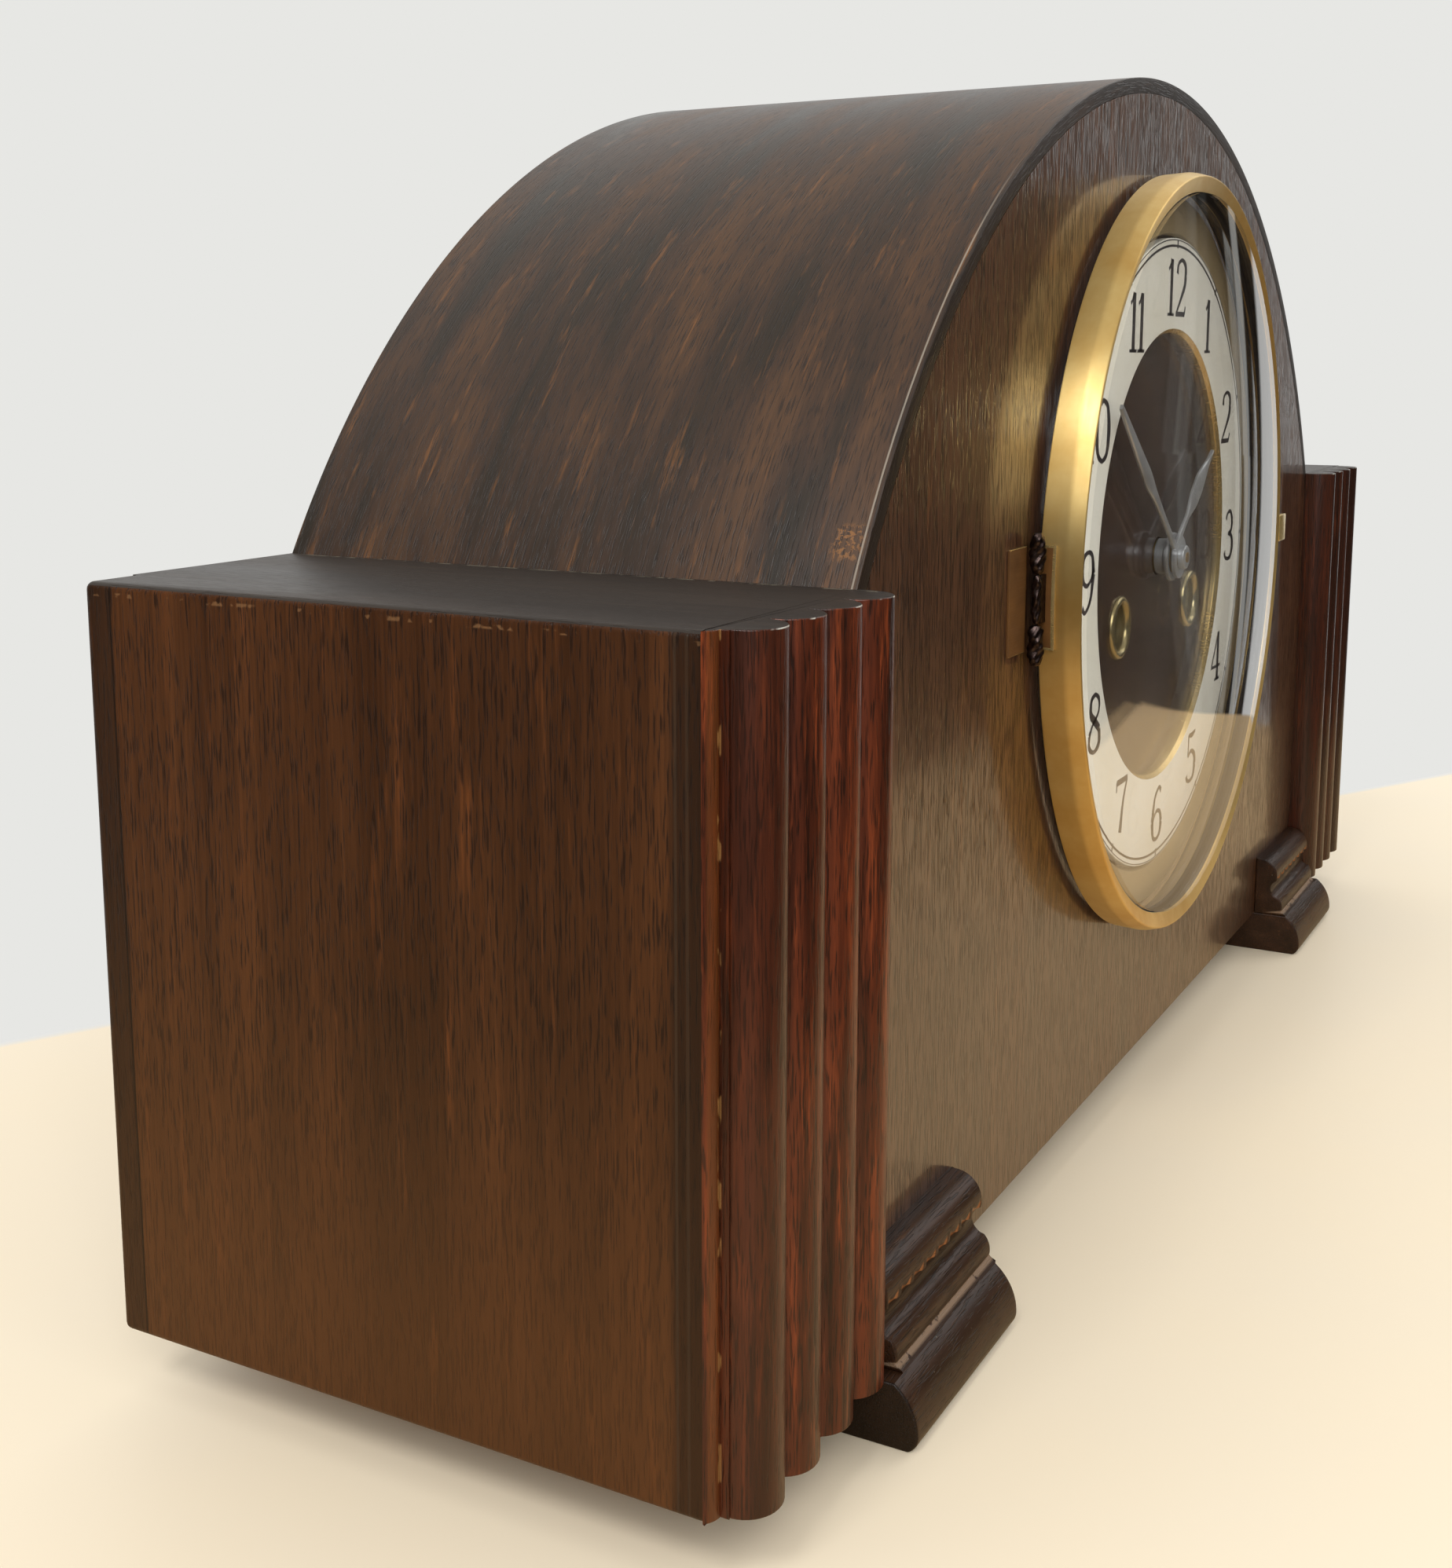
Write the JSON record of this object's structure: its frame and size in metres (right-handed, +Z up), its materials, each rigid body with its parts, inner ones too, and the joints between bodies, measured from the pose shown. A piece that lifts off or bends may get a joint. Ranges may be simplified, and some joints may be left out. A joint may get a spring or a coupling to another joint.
{
  "type": "tambour mantel clock",
  "caption": "Tambour mantel clock with a veneered arched case, reeded corners, hinged brass bezel, domed glass and a key-wound striking pendulum movement.",
  "frame": {"origin": "on the floor, under the middle of the clock", "axes": "+Z up, the dial faces -Y, +X to the right of the dial as seen from the front"},
  "size_m": [0.4, 0.1178, 0.2187],
  "materials": {
    "case_veneer": "dark walnut veneer, satin lacquer",
    "pilaster_wood": "dark stained solid wood, satin lacquer",
    "foot_wood": "nearly black stained wood, satin lacquer",
    "inner_wood": "plain stained board",
    "bezel_brass": "satin brushed",
    "bright_brass": "polished",
    "movement_brass": "plain",
    "steel": "plain",
    "glass": "clear",
    "dial_bronze": "dark glossy lacquer",
    "dial_margin": "satin tan",
    "chapter_white": "silvered white with black numerals",
    "hand_silver": "silver grey"
  },
  "bodies": {
    "case": {"front_panel": "case_veneer", "back_panel": "inner_wood", "base_board": "inner_wood", "left_side_panel": "case_veneer", "right_side_panel": "case_veneer", "left_shoulder_top": "case_veneer", "right_shoulder_top": "case_veneer", "arch_shell": "case_veneer", "left_pilaster": "pilaster_wood", "right_pilaster": "pilaster_wood", "left_front_foot": "foot_wood", "right_front_foot": "foot_wood", "rear_feet": "foot_wood", "gong_block": "inner_wood", "bezel_hinge_frame": "bezel_brass", "dial_plate": "dial_bronze", "dial_margin": "dial_margin", "chapter_ring": "chapter_white", "winding_eyelets": "bright_brass", "door_hinge_frames": "movement_brass", "movement_front_plate": "movement_brass", "movement_back_plate": "movement_brass", "plate_pillars": "steel", "mounting_straps": "steel", "strap_screws": "steel", "gong_rods": "steel"},
    "bezel": {"bezel_ring": "bezel_brass", "bezel_glass": "glass", "bezel_tab": "bezel_brass", "bezel_leaf": "bezel_brass"},
    "door": {"back_door": "inner_wood", "door_leaves": "movement_brass"},
    "button": {"turn_button": "movement_brass"},
    "minute": {"centre_wheel": "movement_brass", "cannon_pinion": "movement_brass", "minute_hand": "hand_silver", "hand_nut": "hand_silver"},
    "hour": {"hour_wheel": "movement_brass", "hour_hand": "hand_silver"},
    "motion_wheel": {"minute_wheel": "movement_brass"},
    "second": {"second_wheel": "movement_brass"},
    "third": {"third_wheel": "movement_brass"},
    "escape": {"escape_wheel": "movement_brass"},
    "time_drum": {"time_barrel": "movement_brass", "time_mainspring": "steel"},
    "time_winder": {"time_winding_arbor": "steel"},
    "time_click": {"time_click": "steel"},
    "pendulum": {"suspension_spring": "steel", "pendulum_rod": "steel", "pendulum_bob": "movement_brass", "rating_nut": "movement_brass"},
    "anchor": {"pallet_anchor": "steel"},
    "strike_drum": {"strike_barrel": "movement_brass", "strike_mainspring": "steel"},
    "strike_winder": {"strike_winding_arbor": "steel"},
    "strike_click": {"strike_click": "steel"},
    "strike_second": {"strike_second_wheel": "movement_brass"},
    "pins": {"pin_wheel": "movement_brass"},
    "fly": {"fly": "movement_brass"},
    "hammer": {"hammer": "steel"}
  },
  "joints": [
    {"name": "bezel_hinge", "type": "hinge", "parent": "case", "child": "bezel", "pos_m": [-0.083, -0.0487, 0.1205], "axis": [0, 0, -1], "range_deg": [0, 100]},
    {"name": "door_hinge", "type": "hinge", "parent": "case", "child": "door", "pos_m": [0.0758, 0.05655, 0.09], "axis": [0, 0, -1], "range_deg": [0, 110]},
    {"name": "button_turn", "type": "hinge", "parent": "case", "child": "button", "pos_m": [-0.083, 0.05495, 0.1075], "axis": [0, 1, 0], "range_deg": [0, 90]},
    {"name": "minute_spin", "type": "hinge", "parent": "case", "child": "minute", "pos_m": [0, -0.02645, 0.1205], "axis": [0, 1, 0], "continuous": true},
    {"name": "hour_spin", "type": "hinge", "parent": "case", "child": "hour", "pos_m": [0, -0.04145, 0.1205], "axis": [0, 1, 0], "continuous": true},
    {"name": "motion_wheel_spin", "type": "hinge", "parent": "case", "child": "motion_wheel", "pos_m": [0, -0.03845, 0.1025], "axis": [0, 1, 0], "continuous": true},
    {"name": "second_spin", "type": "hinge", "parent": "case", "child": "second", "pos_m": [0.01652, -0.02645, 0.13503], "axis": [0, 1, 0], "continuous": true},
    {"name": "third_spin", "type": "hinge", "parent": "case", "child": "third", "pos_m": [-0.01052, -0.02645, 0.13844], "axis": [0, 1, 0], "continuous": true},
    {"name": "escape_spin", "type": "hinge", "parent": "case", "child": "escape", "pos_m": [0, -0.02645, 0.1545], "axis": [0, 1, 0], "continuous": true},
    {"name": "time_drum_spin", "type": "hinge", "parent": "case", "child": "time_drum", "pos_m": [0.027, -0.02645, 0.1082], "axis": [0, 1, 0], "continuous": true},
    {"name": "time_winder_spin", "type": "hinge", "parent": "case", "child": "time_winder", "pos_m": [0.027, -0.02645, 0.1082], "axis": [0, 1, 0], "continuous": true},
    {"name": "time_click_lift", "type": "hinge", "parent": "case", "child": "time_click", "pos_m": [0.0365, -0.03445, 0.1177], "axis": [0, 1, 0], "range_deg": [0, 10]},
    {"name": "pendulum_swing", "type": "hinge", "parent": "case", "child": "pendulum", "pos_m": [0, 0.00855, 0.17082], "axis": [0, 1, 0], "range_deg": [-3.5, 3.5]},
    {"name": "anchor_rock", "type": "hinge", "parent": "case", "child": "anchor", "pos_m": [0, -0.02645, 0.17082], "axis": [0, 1, 0], "range_deg": [-3.5, 3.5]},
    {"name": "pin_wheel_spin", "type": "hinge", "parent": "case", "child": "pins", "pos_m": [-0.03199, -0.02645, 0.14695], "axis": [0, 1, 0], "continuous": true},
    {"name": "strike_second_spin", "type": "hinge", "parent": "case", "child": "strike_second", "pos_m": [-0.03998, -0.02645, 0.13391], "axis": [0, 1, 0], "continuous": true},
    {"name": "strike_drum_spin", "type": "hinge", "parent": "case", "child": "strike_drum", "pos_m": [-0.027, -0.02645, 0.1082], "axis": [0, 1, 0], "continuous": true},
    {"name": "fly_spin", "type": "hinge", "parent": "case", "child": "fly", "pos_m": [-0.0391, -0.02645, 0.15947], "axis": [0, 1, 0], "continuous": true},
    {"name": "strike_winder_spin", "type": "hinge", "parent": "case", "child": "strike_winder", "pos_m": [-0.027, -0.02645, 0.1082], "axis": [0, 1, 0], "continuous": true},
    {"name": "strike_click_lift", "type": "hinge", "parent": "case", "child": "strike_click", "pos_m": [-0.0175, -0.03445, 0.1177], "axis": [0, 1, 0], "range_deg": [0, 10]},
    {"name": "hammer_lift", "type": "hinge", "parent": "case", "child": "hammer", "pos_m": [-0.052, -0.00645, 0.1225], "axis": [0, -1, 0], "range_deg": [0, 12]}
  ],
  "couplings": [
    {"joint": "hour_spin", "follows": "minute_spin", "ratio": 0.083333},
    {"joint": "motion_wheel_spin", "follows": "minute_spin", "ratio": -0.33333},
    {"joint": "second_spin", "follows": "minute_spin", "ratio": -0.14286},
    {"joint": "time_drum_spin", "follows": "minute_spin", "ratio": 0.020408},
    {"joint": "third_spin", "follows": "minute_spin", "ratio": -12},
    {"joint": "escape_spin", "follows": "minute_spin", "ratio": 132},
    {"joint": "anchor_rock", "follows": "pendulum_swing", "ratio": 1},
    {"joint": "strike_second_spin", "follows": "pin_wheel_spin", "ratio": -0.13333},
    {"joint": "strike_drum_spin", "follows": "pin_wheel_spin", "ratio": 0.019048},
    {"joint": "fly_spin", "follows": "pin_wheel_spin", "ratio": -7}
  ]
}
